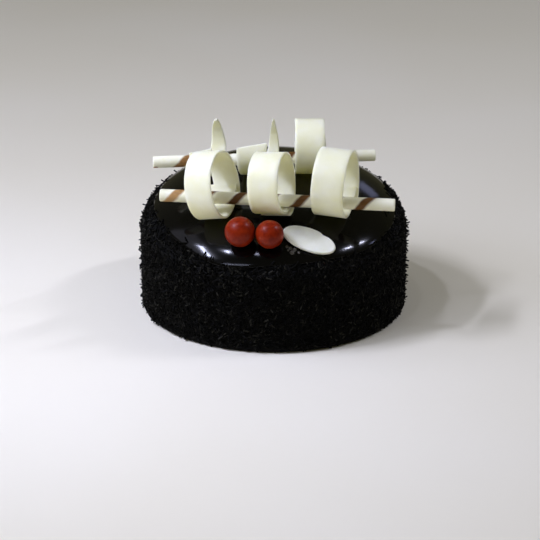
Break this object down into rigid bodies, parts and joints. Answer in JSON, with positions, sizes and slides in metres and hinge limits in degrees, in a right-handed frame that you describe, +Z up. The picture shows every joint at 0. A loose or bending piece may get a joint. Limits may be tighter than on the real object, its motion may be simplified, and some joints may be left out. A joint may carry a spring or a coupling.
{
  "type": "chocolate cake",
  "caption": "Round chocolate cake with a glossy dark glazed top, sprinkle-coated side, wrapped white chocolate strips, striped sticks, glossy balls and a blank oval plaque.",
  "frame": {"origin": "centre of the flat underside", "axes": "+Z up, -Y to the front, +X to the right as seen from the front"},
  "size_m": [0.1916, 0.1911, 0.137],
  "materials": {
    "sprinkled_cake": "dark chocolate sprinkles over the side",
    "chocolate_glaze": "dark mirror glaze",
    "white_chocolate": "satin white chocolate",
    "striped_stick": "satin white chocolate with a brown winding stripe",
    "red_brown_ball": "glossy coated ball",
    "white_plaque": "satin off-white, blank"
  },
  "bodies": {
    "root": {"cake": "sprinkled_cake", "glaze": "chocolate_glaze", "ring_front_left": "white_chocolate", "ring_front_middle": "white_chocolate", "ring_front_right": "white_chocolate", "ring_back_right": "white_chocolate", "curl_back_left": "white_chocolate", "curl_back_middle": "white_chocolate", "stick_front": "striped_stick", "stick_back": "striped_stick", "ball_left": "red_brown_ball", "ball_right": "red_brown_ball", "plaque": "white_plaque"}
  },
  "joints": []
}
